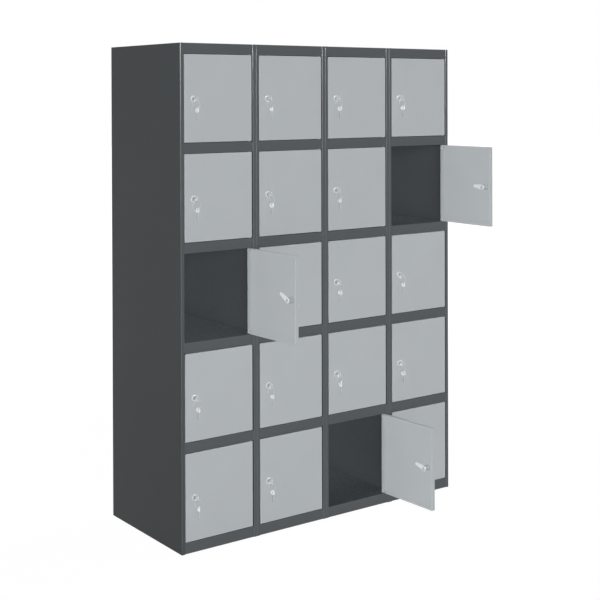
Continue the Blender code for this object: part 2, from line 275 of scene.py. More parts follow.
def plate(outline, start, end, view, edge=0.0):
    """A flat plate between two depths, drawn as its view says, with its rims eased by edge."""
    layers = [(start, outline), (end, outline)]
    if edge:
        small = shrunk(outline, edge)
        layers = [(start, small), (start + edge, outline), (end - edge, outline), (end, small)]
    return skin([[view(x, y, depth) for x, y in points] for depth, points in layers])


def facing(x, z, y):
    """A point of an outline drawn in the door's plane."""
    return x, y, z


def edgewise(y, z, x):
    """A point of an outline drawn square to the door."""
    return x, y, z


def level(x, y, z):
    """A point of an outline drawn from above."""
    return x, y, z


def turned(profile, sides=LOCK_SIDES):
    """A body turned about Y from (radius, y) points that run from end to end."""
    return skin([[(x, y, z) for x, z in circle(0, 0, radius, sides)] for radius, y in profile])


def box_cutter(x0, x1, y0, y1, z0, z1):
    """A box-shaped cutter."""
    outline = [Vector(point) for point in ((x0, y0), (x1, y0), (x1, y1), (x0, y1))]
    return plate(outline, z0, z1, level)


def body_of(mesh):
    """A mesh turned back into a body."""
    body = bmesh.new()
    body.from_mesh(mesh)
    bpy.data.meshes.remove(mesh)
    return body


def mesh_of(body):
    """A body turned into a mesh."""
    mesh = bpy.data.meshes.new("shape")
    body.to_mesh(mesh)
    body.free()
    return mesh


def joined(bodies):
    """Several bodies as one."""
    whole = bmesh.new()
    for body in bodies:
        mesh = mesh_of(body)
        whole.from_mesh(mesh)
        bpy.data.meshes.remove(mesh)
    return whole


def combined(body, steps):
    """A body's mesh after each (operation, body) step of union or difference, without doubled points."""
    helpers = []
    for shape in (body, *(step[1] for step in steps)):
        helper = bpy.data.objects.new("shape", mesh_of(shape))
        bpy.context.scene.collection.objects.link(helper)
        helpers.append(helper)
    for (operation, _), helper in zip(steps, helpers[1:]):
        modifier = helpers[0].modifiers.new(operation, "BOOLEAN")
        modifier.operation = operation
        modifier.object = helper
    view = bpy.context.evaluated_depsgraph_get()
    result = bpy.data.meshes.new_from_object(helpers[0].evaluated_get(view))
    for helper in helpers:
        bpy.data.objects.remove(helper)
    whole = body_of(result)
    bmesh.ops.remove_doubles(whole, verts=whole.verts, dist=DOUBLE)
    return mesh_of(whole)


def cut(body, cutters):
    """A body's mesh after cutters are taken from it in turn."""
    return combined(body, [("DIFFERENCE", cutter) for cutter in cutters])


def finished(mesh, material, sharp=radians(35)):
    """A mesh with flat faces flat, bends smooth up to an angle, and one material."""
    mesh.materials.clear()
    mesh.materials.append(material)
    mesh.shade_smooth()
    mesh.set_sharp_from_angle(angle=sharp)
    helper = bpy.data.objects.new("shape", mesh)
    bpy.context.scene.collection.objects.link(helper)
    modifier = helper.modifiers.new("normals", "WEIGHTED_NORMAL")
    modifier.mode = "FACE_AREA"
    modifier.weight = 50
    modifier.keep_sharp = True
    view = bpy.context.evaluated_depsgraph_get()
    result = bpy.data.meshes.new_from_object(helper.evaluated_get(view))
    bpy.data.objects.remove(helper)
    bpy.data.meshes.remove(mesh)
    return result


def two_tone(mesh, material, chosen):
    """Gives the chosen faces of a mesh a second material."""
    mesh.materials.append(material)
    for face in mesh.polygons:
        if chosen(face):
            face.material_index = 1
    return mesh


def aslant(face):
    """Whether a face lies along no axis, as the faces of a bend do."""
    return max(abs(part) for part in face.normal) < 0.9995


def folded(mesh):
    """A dark sheet whose bends have their own gloss."""
    return two_tone(finished(mesh, DARK), BEND, aslant)


class Nodes:
    """Short calls for making a material's nodes."""

    def __init__(self, name):
        self.material = bpy.data.materials.new(name)
        self.material.use_nodes = True
        self.tree = self.material.node_tree
        self.shader = self.tree.nodes["Principled BSDF"]
        self.place = self.add("ShaderNodeTexCoord").outputs["Object"]

    def add(self, kind, **settings):
        """A node with its settings; a name with capitals is one of its inputs."""
        node = self.tree.nodes.new(kind)
        for key, value in settings.items():
            if key[0].isupper():
                node.inputs[key.replace("_", " ")].default_value = value
            else:
                setattr(node, key, value)
        return node

    def link(self, source, target):
        """Joins an output to an input."""
        self.tree.links.new(source, target)

    def noise(self, scale, detail=2.0, roughness=0.5, stretch=None):
        """A noise in the object's own metres, stretched along its axes where asked."""
        node = self.add("ShaderNodeTexNoise", Scale=scale, Detail=detail, Roughness=roughness)
        source = self.place
        if stretch:
            mapping = self.add("ShaderNodeMapping", Scale=stretch)
            self.link(source, mapping.inputs["Vector"])
            source = mapping.outputs["Vector"]
        self.link(source, node.inputs["Vector"])
        return node.outputs["Fac"]

    def ranged(self, source, low, high, start=0.3, end=0.7):
        """A value taken from one range to another."""
        node = self.add("ShaderNodeMapRange", From_Min=start, From_Max=end, To_Min=low, To_Max=high)
        self.link(source, node.inputs["Value"])
        return node.outputs["Result"]

    def maths(self, operation, first, second):
        """Two values put together."""
        node = self.add("ShaderNodeMath", operation=operation)
        self.link(first, node.inputs[0])
        self.link(second, node.inputs[1])
        return node.outputs[0]

    def tinted(self, colour, shade):
        """A colour made lighter or darker by a shade around 1."""
        node = self.add("ShaderNodeVectorMath", operation="SCALE")
        node.inputs[0].default_value = colour
        self.link(shade, node.inputs["Scale"])
        self.link(node.outputs[0], self.shader.inputs["Base Color"])

    def bump(self, height, strength, distance):
        """Raises the surface by a height."""
        node = self.add("ShaderNodeBump", Strength=strength, Distance=distance)
        self.link(height, node.inputs["Height"])
        self.link(node.outputs["Normal"], self.shader.inputs["Normal"])

    def rough(self, value):
        """Sets the roughness from a value."""
        self.link(value, self.shader.inputs["Roughness"])


def powder_coat(name, colour, shine, low, high):
    """Fine-textured powder coat: a soft grain, faint clouds in the colour, satin gloss."""
    nodes = Nodes(name)
    nodes.shader.inputs["Specular IOR Level"].default_value = shine
    grain = nodes.noise(scale=1500, detail=2.0, roughness=0.55)
    clouds = nodes.noise(scale=7, detail=2.0)
    shade = nodes.maths("MULTIPLY", nodes.ranged(grain, 0.965, 1.035), nodes.ranged(clouds, 0.985, 1.015))
    nodes.tinted(colour, shade)
    nodes.rough(nodes.ranged(nodes.noise(scale=420, detail=3.0), low, high))
    nodes.bump(grain, strength=0.18, distance=0.0002)
    return nodes.material


def plated(name, colour, metallic, low, high, stretch=None, grain=500):
    """Plated metal with a faint cloudy or brushed gloss, its roughness from low to high."""
    nodes = Nodes(name)
    nodes.shader.inputs["Metallic"].default_value = metallic
    film = nodes.noise(grain, detail=3.0, roughness=0.6, stretch=stretch)
    nodes.tinted(colour, nodes.ranged(film, 0.93, 1.05))
    nodes.rough(nodes.ranged(film, low, high))
    nodes.bump(film, strength=0.08, distance=0.0001)
    return nodes.material


DARK_GREY = (0.0790, 0.0875, 0.0930)
LIGHT_GREY = (0.3560, 0.3760, 0.3900)
DULL_GREY = (0.3600, 0.3700, 0.3800)
DARK = powder_coat("dark_grey_powder_coat", DARK_GREY, shine=0.06, low=0.24, high=0.32)
BEND = powder_coat("dark_grey_powder_coat_bends", DARK_GREY, shine=0.5, low=0.24, high=0.32)
LIGHT = powder_coat("light_grey_powder_coat", LIGHT_GREY, shine=0.2, low=0.40, high=0.50)
NICKEL = plated("bright_nickel", (0.62, 0.645, 0.66), metallic=0.5, low=0.22, high=0.32)
# A lighter nickel for the spare key's bow: a painted highlight.
NICKEL_PAINTED_HIGHLIGHT = plated("nickel_painted_highlight", (0.85, 0.87, 0.885), metallic=0.5, low=0.20, high=0.28)
# Darker satin nickel for the plug. Its dark tone is partly the plug's satin finish and partly painted shade
# at the lock's centre; the key's shank wears it as painted shade.
PLUG_NICKEL = plated("satin_nickel_and_painted_shade", DULL_GREY, metallic=0.7, low=0.34, high=0.46,
                     stretch=(1, 1, 8), grain=260)
KEY_NICKEL = plated("worn_nickel", (0.57, 0.59, 0.605), metallic=0.55, low=0.24, high=0.34)
ZINC = plated("zinc_plate", (0.87, 0.895, 0.92), metallic=0.4, low=0.30, high=0.45,
              stretch=(5, 1, 1), grain=300)
DULL_ZINC = plated("dull_zinc", (0.50, 0.515, 0.53), metallic=0.65, low=0.36, high=0.50)
# A darker grey for the thread behind the door: painted shade on the barrel.
THREAD = plated("thread_painted_shade", DULL_GREY, metallic=0.6, low=0.34, high=0.46)
STEEL = plated("bright_steel", (0.50, 0.51, 0.52), metallic=0.7, low=0.24, high=0.34)


def group(piece, body, slot):
    """Adds a piece to the groups that lamps are linked to."""
    groups = [DOOR_PIECES]
    if body == "carcass":
        groups = [CARCASS_PIECES]
        groups += [SIDE_PIECES] if piece.name == "left_side" else [KEY_PIECES, INNER_PIECES]
    if slot == "plated_lock":
        groups.append(METAL_PIECES)
    for collection in groups:
        collection.objects.link(piece)


def place(name, mesh, matrix, body, slot, *nodes):
    """Puts a piece where matrix says, on a body, in place of any CAD nodes named."""
    piece = bpy.data.objects.new(name, mesh)
    bpy.context.scene.collection.objects.link(piece)
    group(piece, body, slot)
    piece.matrix_world = matrix
    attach(piece, body)
    if nodes:
        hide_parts(*nodes)


def camera():
    """The camera that fits the photograph's edges: level but for CAMERA_TILT, and shifted to its framing."""
    look = Vector((sin(CAMERA_YAW), cos(CAMERA_YAW), 0))
    right = Vector((cos(CAMERA_YAW), -sin(CAMERA_YAW), 0))
    down = Vector((0, 0, -1))
    ahead = look * cos(CAMERA_TILT) + down * sin(CAMERA_TILT)
    below = down * cos(CAMERA_TILT) - look * sin(CAMERA_TILT)
    across = right * cos(CAMERA_ROLL) - below * sin(CAMERA_ROLL)
    under = right * sin(CAMERA_ROLL) + below * cos(CAMERA_ROLL)
    eye = bpy.data.objects.new("camera", bpy.data.cameras.new("camera"))
    bpy.context.scene.collection.objects.link(eye)
    turn = Matrix((across, -under, -ahead)).transposed().to_4x4()
    eye.matrix_world = Matrix.Translation(CAMERA_SPOT) @ turn
    eye.data.sensor_width = SENSOR
    eye.data.lens = FOCAL / FRAME_SIZE * SENSOR
    eye.data.shift_y = (CENTRE_Y - FRAME_SIZE / 2) / FRAME_SIZE
    bpy.context.scene.camera = eye


def sunlight(name, azimuth, elevation, level):
    """Soft parallel light from so many degrees to the left of the front, to a level where it falls square."""
    data = bpy.data.lights.new(name, "SUN")
    data.energy = pi * level
    data.angle = SUN_ANGLE
    turn, climb = radians(azimuth), radians(elevation)
    ray = Vector((sin(turn) * cos(climb), cos(turn) * cos(climb), -sin(climb)))
    lamp = bpy.data.objects.new(name, data)
    bpy.context.scene.collection.objects.link(lamp)
    lamp.rotation_euler = ray.to_track_quat("-Z", "Y").to_euler()
    lamp.visible_glossy = False
    return lamp


def panel_lamp(name, spot, aim, width, height, energy):
    """A rectangular lamp that faces a point."""
    data = bpy.data.lights.new(name, "AREA")
    data.shape = "RECTANGLE"
    data.size, data.size_y = width, height
    data.energy = energy
    lamp = bpy.data.objects.new(name, data)
    bpy.context.scene.collection.objects.link(lamp)
    arm = Vector(aim) - Vector(spot)
    lamp.matrix_world = Matrix.Translation(spot) @ arm.to_track_quat("-Z", "Y").to_matrix().to_4x4()
    lamp.visible_camera = False
    return lamp


def softbox(name, spot, aim, width, height, level):
    """A lamp that gives its level where it falls square at its aim, and doesn't show in gloss."""
    away = (Vector(aim) - Vector(spot)).length
    lamp = panel_lamp(name, spot, aim, width, height, level * pi * pi * away ** 2)
    lamp.visible_glossy = False
    return lamp


def sheen_lamp(name, spot, aim, width, height, radiance):
    """A lamp that shows only in gloss, for the bright lines along bends and the shine of the locks."""
    lamp = panel_lamp(name, spot, aim, width, height, pi * width * height * radiance)
    lamp.visible_diffuse = False
    return lamp


def lights_only(lamp, receivers, blockers=None):
    """Keeps a lamp's light to some pieces, and its shadows to those of others."""
    lamp.light_linking.receiver_collection = receivers
    if blockers:
        lamp.light_linking.blocker_collection = blockers


def lamps():
    """The photograph's light: frontal keys, a darker side, and fills for open doors and compartments."""
    key = sunlight("key", azimuth=22, elevation=4, level=0.78)
    lights_only(key, KEY_PIECES, CARCASS_PIECES)
    door_key = sunlight("door_key", azimuth=4, elevation=4, level=0.648)
    lights_only(door_key, DOOR_PIECES, CARCASS_PIECES)
    side_key = softbox("side_key", spot=(-1.75, -3.5, 2.2), aim=(-0.6, -0.245, 1.4),
                       width=1.2, height=1.2, level=0.85)
    lights_only(side_key, SIDE_PIECES, CARCASS_PIECES)
    sunlight("right_fill", azimuth=-88, elevation=10, level=0.30)
    sunlight("back_fill", azimuth=182, elevation=12, level=0.30)
    softbox("low_front", spot=(-1.0, -3.2, 0.35), aim=(-0.1, -0.245, 0.35), width=2.4, height=0.5, level=0.12)
    door_fill = sunlight("door_fill", azimuth=80, elevation=6, level=0.85)
    lights_only(door_fill, DOOR_PIECES, CARCASS_PIECES)
    top_fill = sunlight("top_fill", azimuth=0, elevation=88, level=0.44)
    lights_only(top_fill, DOOR_PIECES, CARCASS_PIECES)
    inner_fill = sunlight("inner_fill", azimuth=88, elevation=60, level=0.54)
    lights_only(inner_fill, INNER_PIECES, DOOR_PIECES)
    lock_light = sheen_lamp("lock_light", spot=(0.0, -4.2, 4.2), aim=(0.0, -0.245, 1.0),
                            width=0.6, height=0.6, radiance=160.0)
    lights_only(lock_light, METAL_PIECES)
    edge_light = sheen_lamp("edge_light", spot=(-3.0, -1.9, 2.1), aim=(-0.6, -0.245, 1.7),
                            width=4.6, height=0.4, radiance=72.0)
    lights_only(edge_light, CARCASS_PIECES)


def world():
    """Soft light from all round, and white wherever the camera or a gloss looks past the locker."""
    sky = bpy.data.worlds.new("studio")
    bpy.context.scene.world = sky
    sky.use_nodes = True
    tree = sky.node_tree
    back = tree.nodes["Background"]
    back.inputs["Color"].default_value = (1.0, 1.0, 1.0, 1.0)
    rays = tree.nodes.new("ShaderNodeLightPath")

    def maths(kind, first, second):
        node = tree.nodes.new("ShaderNodeMath")
        node.operation = kind
        for socket, value in zip(node.inputs, (first, second)):
            if isinstance(value, float):
                socket.default_value = value
            else:
                tree.links.new(value, socket)
        return node.outputs[0]

    seen = maths("MAXIMUM", rays.outputs["Is Camera Ray"], rays.outputs["Is Glossy Ray"])
    seen = maths("MAXIMUM", seen, rays.outputs["Is Transmission Ray"])
    strength = maths("ADD", AMBIENT, maths("MULTIPLY", seen, 1.0 - AMBIENT))
    tree.links.new(strength, back.inputs["Strength"])


def floor():
    """A plain white floor that keeps a faint shadow of the locker and fades to plain white far off."""
    nodes = Nodes("studio_floor")
    nodes.shader.inputs["Base Color"].default_value = (0.86, 0.86, 0.86, 1.0)
    nodes.shader.inputs["Roughness"].default_value = 0.9
    nodes.shader.inputs["Specular IOR Level"].default_value = 0.0
    glow = nodes.add("ShaderNodeEmission", Strength=FLOOR_GLOW)
    rays = nodes.add("ShaderNodeLightPath").outputs
    seen = nodes.maths("MAXIMUM", rays["Is Camera Ray"], rays["Is Glossy Ray"])
    seen = nodes.maths("MAXIMUM", seen, rays["Is Transmission Ray"])
    away = nodes.add("ShaderNodeVectorMath", operation="LENGTH")
    nodes.link(nodes.place, away.inputs[0])
    share = nodes.ranged(away.outputs["Value"], FLOOR_GLOW_SHARE, 1.0, FADE_START, FADE_END)
    mix = nodes.add("ShaderNodeMixShader")
    nodes.link(nodes.maths("MULTIPLY", seen, share), mix.inputs[0])
    nodes.link(nodes.shader.outputs[0], mix.inputs[1])
    nodes.link(glow.outputs[0], mix.inputs[2])
    nodes.link(mix.outputs[0], nodes.tree.nodes["Material Output"].inputs["Surface"])
    mesh = bpy.data.meshes.new("floor")
    corners = [(x * FLOOR_REACH, y * FLOOR_REACH, 0) for x, y in ((-1, -1), (1, -1), (1, 1), (-1, 1))]
    mesh.from_pydata(corners, [], [(0, 1, 2, 3)])
    mesh.materials.append(nodes.material)
    ground = bpy.data.objects.new("floor", mesh)
    bpy.context.scene.collection.objects.link(ground)
    KEY_PIECES.objects.link(ground)


def door_ring(inset, hinge_inset, depth):
    """A ring of a door pan's surface, inset from the door's edges, at a depth behind its face."""
    radius = max(DOOR_CORNER - inset, LEAST_CORNER)
    left, right = DOOR_LEFT + inset, PIVOT_INSET - hinge_inset
    low, high = inset, DOOR_HEIGHT - inset
    corners = rounded([
        (left, low, radius), (right, low, radius), (right, high, radius), (left, high, radius),
    ], CORNER_STEPS)
    return [(x, depth - PIVOT_DEPTH, z) for x, z in corners]


def folded_pan():
    """A door folded from one sheet: face, four returns and four lips."""
    rings = []
    for step in range(BEND_STEPS + 1):
        swing = pi / 2 * step / BEND_STEPS
        inset = DOOR_BEND * (1 - sin(swing))
        rings.append(door_ring(inset, inset, DOOR_BEND * (1 - cos(swing))))
    for step in range(BEND_STEPS + 1):
        swing = pi / 2 * step / BEND_STEPS
        inset = LIP_BEND * (1 - cos(swing))
        rings.append(door_ring(inset, inset, DOOR_DEPTH - LIP_BEND * (1 - sin(swing))))
    inner = DOOR_DEPTH - DOOR_SHEET
    rings.append(door_ring(LIP, HINGE_LIP, DOOR_DEPTH))
    rings.append(door_ring(LIP, HINGE_LIP, inner))
    rings.append(door_ring(DOOR_SHEET, DOOR_SHEET, inner))
    rings.append(door_ring(DOOR_SHEET, DOOR_SHEET, DOOR_SHEET))
    return skin(rings)


def mitre(x, z, to_x, to_z):
    """A thin cutter that parts two lips from the corner at x, z towards to_x, to_z."""
    start, end = Vector((x, z)), Vector((to_x, to_z))
    along = (end - start).normalized()
    side = Vector((-along.y, along.x)) * MITRE / 2
    start = start - along * MITRE_START
    rear = DOOR_DEPTH - PIVOT_DEPTH
    outline = [start - side, end - side, end + side, start + side]
    return plate(outline, rear - 2 * DOOR_SHEET, rear + DOOR_SHEET, facing)


def door_mesh():
    """The door pan with its lock hole, mitred lips and a notch at each end of the hinge lip."""
    left, right = DOOR_LEFT + LIP_BEND, PIVOT_INSET - LIP_BEND
    low, high = LIP_BEND, DOOR_HEIGHT - LIP_BEND
    rear = DOOR_DEPTH - PIVOT_DEPTH
    end = LIP + MITRE
    cutters = [
        mitre(left, low, DOOR_LEFT + end, end),
        mitre(left, high, DOOR_LEFT + end, DOOR_HEIGHT - end),
    ]
    for foot, head in ((low, NOTCH_HEIGHT), (DOOR_HEIGHT - NOTCH_HEIGHT, high)):
        cutters.append(box_cutter(PIVOT_INSET - HINGE_LIP - MITRE, right,
                                  rear - 2 * DOOR_SHEET, rear + DOOR_SHEET, foot, head))
    hole = circle(FIRST_LOCK.x, FIRST_LOCK.z, BARREL_RADIUS + CLEAR, LOCK_SIDES)
    cutters.append(plate(hole, -PIVOT_DEPTH - DOOR_SHEET, DOOR_DEPTH / 2 - PIVOT_DEPTH, facing))
    return finished(cut(folded_pan(), cutters), LIGHT)


def hinge_pin():
    """A pin with a domed top, a collar and the plate that holds it, whose foot is at the origin."""
    top = PIN_TAIL + PIN_REACH
    profile = [
        (0.0006, top), (0.0018, top - 0.0003), (PIN_RADIUS, top - 0.0011),
        (PIN_RADIUS, COLLAR_HEAD), (COLLAR_RADIUS - COLLAR_EDGE, COLLAR_HEAD),
        (COLLAR_RADIUS, COLLAR_HEAD - COLLAR_EDGE), (COLLAR_RADIUS, COLLAR_FOOT + COLLAR_EDGE),
        (COLLAR_RADIUS - COLLAR_EDGE, COLLAR_FOOT), (PIN_RADIUS, COLLAR_FOOT),
        (PIN_RADIUS, 0.0003), (PIN_RADIUS - 0.0003, 0.0),
    ]
    pin = turned(profile, PIN_SIDES)
    bmesh.ops.transform(pin, matrix=Matrix.Rotation(pi / 2, 4, "X"), verts=pin.verts)
    width = PLATE_WIDTH / 2
    right = PIVOT_INSET - DOOR_SHEET - CLEAR
    outline = rounded([
        (-width, -width, PLATE_CORNER), (right, -width, 0), (right, width, 0), (-width, width, PLATE_CORNER),
    ], 3)
    base = PIN_TAIL - DOOR_SHEET - PLATE_THICKNESS
    seat = plate(outline, base, base + PLATE_THICKNESS - CLEAR / 2, level, 0.0002)
    return finished(mesh_of(joined([pin, seat])), DULL_ZINC)


def lock_body_mesh():
    """Face ring, threaded barrel and end of the lock body, open in front for the plug."""
    bore = PLUG_RADIUS + CLEAR
    profile = [
        (bore, 0.0), (bore, -FACE_HEIGHT + 0.0009),
        (PLUG_RADIUS + 0.0007, -FACE_HEIGHT + 0.0002), (PLUG_RADIUS + 0.0012, -FACE_HEIGHT),
        (FACE_RADIUS - 0.0011, -FACE_HEIGHT), (FACE_RADIUS - 0.0005, -FACE_HEIGHT + 0.0002),
        (FACE_RADIUS - 0.0001, -FACE_HEIGHT + 0.0006), (FACE_RADIUS, -FACE_HEIGHT + 0.0011),
        (FACE_RADIUS, -0.0001), (BARREL_RADIUS, -0.0001),
    ]
    end = CAM_FRONT - BARREL_GAP
    last = end - 0.0004
    y = THREAD_START
    while y + THREAD_PITCH < last:
        profile += [(BARREL_RADIUS, y), (BARREL_RADIUS - THREAD_DEPTH, y + THREAD_PITCH / 2)]
        y += THREAD_PITCH
    profile += [(BARREL_RADIUS - THREAD_DEPTH, last), (BARREL_RADIUS - 0.0009, end)]
    # The thread behind the door takes the darker grey, a painted shade on the barrel.
    return two_tone(finished(mesh_of(turned(profile)), NICKEL), THREAD, lambda face: face.center.y > 0)


def nut_mesh():
    """The hexagon nut behind the door, with its corners turned off."""
    hexagon = [Vector(point) for point in circle(0, 0, NUT_RADIUS, 6, pi / 6)]
    outline = []
    for i, corner in enumerate(hexagon):
        outline += [hexagon[i - 1].lerp(corner, step / 6) for step in range(1, 7)]
    flat = NUT_RADIUS * cos(pi / 6)
    eased = [point.normalized() * min(point.length, flat + 0.0001) for point in outline]
    hole = [point.normalized() * (BARREL_RADIUS - THREAD_DEPTH) for point in outline]
    rear = NUT_FRONT + NUT_HEIGHT
    layers = [(hole, NUT_FRONT), (eased, NUT_FRONT), (outline, NUT_FRONT + NUT_EDGE),
              (outline, rear - NUT_EDGE), (eased, rear), (hole, rear), (hole, NUT_FRONT)]
    body = skin([[(x, y, z) for x, z in points] for points, y in layers], closed_ends=False)
    bmesh.ops.remove_doubles(body, verts=body.verts, dist=DOUBLE)
    bmesh.ops.recalc_face_normals(body, faces=body.faces)
    return finished(mesh_of(body), DULL_ZINC, radians(25))


def plug_mesh():
    """The plug that the key turns, with its keyway."""
    face = -FACE_HEIGHT + 0.0006
    profile = [(PLUG_RADIUS - 0.0006, face), (PLUG_RADIUS, face + 0.0005), (PLUG_RADIUS, -0.0002),
               (PLUG_RADIUS - 0.0004, -0.0001)]
    keyway = box_cutter(-KEYWAY_WIDTH / 2, KEYWAY_WIDTH / 2, face - 0.001, face + KEYWAY_DEPTH,
                        -KEYWAY_LENGTH / 2, KEYWAY_LENGTH / 2)
    # The plug's darker nickel is partly painted shade at the lock's centre.
    return finished(cut(turned(profile), [keyway]), PLUG_NICKEL)


def cam_mesh():
    """The cam that catches behind the post, pointing to the hinge."""
    waist = CAM_ROOT * 0.9
    root_bend, tip_bend = CAM_ROOT * 0.8, CAM_TIP * 0.8
    outline = rounded([
        (-CAM_ROOT, -CAM_ROOT, root_bend), (waist, -CAM_ROOT, CAM_WAIST_BEND),
        (CAM_REACH, -CAM_TIP, tip_bend), (CAM_REACH, CAM_TIP, tip_bend),
        (waist, CAM_ROOT, CAM_WAIST_BEND), (-CAM_ROOT, CAM_ROOT, root_bend),
    ], 6)
    return finished(mesh_of(plate(outline, CAM_FRONT, CAM_FRONT + CAM_THICKNESS, facing, 0.0002)), ZINC)


def bolt_mesh():
    """The bolt and washer that hold the cam, and the neck that the cam sits on."""
    seat = CAM_FRONT + CAM_THICKNESS
    head = seat + WASHER_HEIGHT
    washer = turned([
        (WASHER_BORE, seat), (WASHER_RADIUS, seat), (WASHER_RADIUS, head - 0.0002),
        (WASHER_RADIUS - 0.0002, head), (WASHER_BORE, head),
    ], 32)
    bolt = plate(circle(0, 0, BOLT_RADIUS, 6), head, head + BOLT_HEIGHT, facing, 0.0004)
    neck = turned([(BOLT_NECK_RADIUS, CAM_FRONT - BOLT_NECK_LENGTH), (BOLT_NECK_RADIUS, CAM_FRONT)], 32)
    return finished(mesh_of(joined([washer, bolt, neck])), KEY_NICKEL)


def bow_outline(neck, tip):
    """Corners (along, across, radius) of a key's bow from its neck to its tip."""
    half = BOW_WIDTH / 2
    shoulder, tip_side, tip_end = half * 0.55, half * 0.94, half * 0.45
    step = BOW_END if tip > neck else -BOW_END
    return [
        (neck, shoulder, 0.0020), (neck + step, half, 0.0045),
        (tip - step, tip_side, 0.0050), (tip, tip_end, 0.0045),
        (tip, -tip_end, 0.0045), (tip - step, -tip_side, 0.0050),
        (neck + step, -half, 0.0045), (neck, -shoulder, 0.0020),
    ]


def key_plate(corners, eye_at):
    """A key's plate, square to the door, with the eye cut at a distance along Y."""
    half = KEY_THICKNESS / 2
    body = plate(rounded(corners, 4), -half, half, edgewise, KEY_EDGE)
    eye = plate(circle(eye_at, 0, KEY_EYE, EYE_SIDES), -OVERRUN, OVERRUN, edgewise)
    return cut(body, [eye])


def key_mesh():
    """The key in the lock: a shank in the plug's darker nickel, as painted shade at the key's neck, and the
    bow with its eye.
    """
    shank = KEY_SHANK_WIDTH / 2
    neck, tip = -KEY_NECK, -KEY_NECK - BOW_LENGTH
    corners = [(KEY_START, shank, 0), (neck, shank, 0)] + bow_outline(neck, tip)
    corners += [(neck, -shank, 0), (KEY_START, -shank, 0)]
    mesh = finished(key_plate(corners, tip + EYE_INSET), KEY_NICKEL)
    # The shank's darker nickel is painted shade at the key's neck.
    return two_tone(mesh, PLUG_NICKEL, lambda face: face.center.y > neck)


def blade_body(neck):
    """The toothed blade of the spare key, down from its neck."""
    shank = KEY_SHANK_WIDTH / 2
    end = neck - BLADE_LENGTH
    step = (BLADE_LENGTH - TEETH_MARGIN) / len(TEETH)
    outline = [(shank, neck)]
    for i, depth in enumerate(TEETH):
        for share in (0.25, 0.75):
            outline.append((shank - depth, neck - TEETH_START - (i + share) * step))
    outline += [(BLADE_POINT, end), (-BLADE_POINT, end), (-shank, end + BLADE_SLANT), (-shank, neck)]
    half = BLADE_THICKNESS / 2
    return plate([Vector(point) for point in outline], -half, half, edgewise)


def spare_key_mesh():
    """A whole key that hangs by its eye, which is at the origin, with a bow made lighter as a painted
    highlight and a blade in the darker zinc.
    """
    neck = EYE_INSET - BOW_LENGTH
    corners = [(across, along, radius) for along, across, radius in bow_outline(neck, EYE_INSET)]
    bow = body_of(key_plate(corners, 0))
    # The bow's lighter nickel is a painted highlight; the blade takes the darker zinc.
    mesh = finished(mesh_of(joined([bow, blade_body(neck)])), NICKEL_PAINTED_HIGHLIGHT)
    return two_tone(mesh, DULL_ZINC, lambda face: face.center.z < neck)


def ring_mesh():
    """A split ring of two turns of wire, upright in the door's plane, centred on the origin."""
    turns, steps, sides = 2, 48, 8
    cross_from, cross_share, spread = 0.42, 0.16, 2.1 * WIRE_RADIUS
    rings = []
    for i in range(turns * steps + 1):
        angle = 2 * pi * i / steps
        share = i / (turns * steps)
        crossed = min(max((share - cross_from) / cross_share, 0.0), 1.0)
        out = Vector((cos(angle), 0, sin(angle)))
        centre = out * RING_RADIUS + Vector((0, (crossed - 0.5) * spread, 0))
        rings.append([centre + out * (WIRE_RADIUS * cos(turn)) + Vector((0, WIRE_RADIUS * sin(turn), 0))
                      for turn in (2 * pi * side / sides for side in range(sides))])
    return finished(mesh_of(skin(rings)), STEEL, radians(60))


def hang_keys(tag, mount, body, meshes, swing):
    """The ring in the key's eye, and the spare key that hangs in the ring's lower right."""
    rest = KEY_EYE - WIRE_RADIUS
    eye = Matrix.Translation((0, EYE_INSET - KEY_NECK - BOW_LENGTH, -rest))
    ring = mount @ eye @ Matrix.Rotation(swing, 4, "Z") @ Matrix.Translation((0, 0, -RING_RADIUS))
    place(f"key_ring_{tag}", meshes["ring"], ring, body, "plated_lock")
    low = Matrix.Translation((RING_RADIUS * sin(RING_SLIP), 0, -RING_RADIUS * cos(RING_SLIP) - rest))
    spare = ring @ low @ Matrix.Rotation(-swing * 2, 4, "Z")
    place(f"spare_key_{tag}", meshes["spare"], spare, body, "plated_lock")


def door_and_lock(column, row, meshes):
    """Every piece of one door and its lock, as open and as turned as they are at rest."""
    tag = f"c{column}_r{row}"
    door_body, lock_body = f"door_{tag}", f"lock_{tag}"
    hinge, turn = JOINTS[f"door_{tag}_hinge"], JOINTS[f"lock_{tag}_turn"]
    opening = -radians(hinge["range_deg"][0])
    tilt = -radians(turn["range_deg"][0])
    leaf = Matrix.Translation(hinge["pos_m"]) @ Matrix.Rotation(opening, 4, "Z")
    mount = Matrix.Translation(turn["pos_m"]) @ Matrix.Rotation(opening, 4, "Z")
    turned_lock = mount @ Matrix.Rotation(-tilt, 4, "Y")
    upper = leaf @ Matrix.Translation((0, 0, DOOR_HEIGHT - PIN_TAIL))
    lower = leaf @ Matrix.Translation((0, 0, PIN_TAIL)) @ Matrix.Scale(-1, 4, (0, 0, 1))
    place(f"door_pan_{tag}", meshes["door"], leaf, door_body, "light_grey_paint", f"door_{tag}")
    place(f"upper_pin_{tag}", meshes["pin"], upper, door_body, "plated_lock")
    place(f"lower_pin_{tag}", meshes["pin"], lower, door_body, "plated_lock")
    place(f"lock_body_{tag}", meshes["lock_body"], mount, door_body, "plated_lock")
    place(f"lock_nut_{tag}", meshes["nut"], mount, door_body, "plated_lock")
    place(f"plug_{tag}", meshes["plug"], turned_lock, lock_body, "plated_lock")
    place(f"cam_{tag}", meshes["cam"], turned_lock, lock_body, "plated_lock", f"cam_lock_{tag}")
    place(f"cam_bolt_{tag}", meshes["bolt"], turned_lock, lock_body, "plated_lock")
    place(f"key_{tag}", meshes["key"], turned_lock, lock_body, "plated_lock")
    swing = KEY_SWING * sin(2.1 * column + 3.7 * row)
    hang_keys(tag, mount, door_body, meshes, swing)


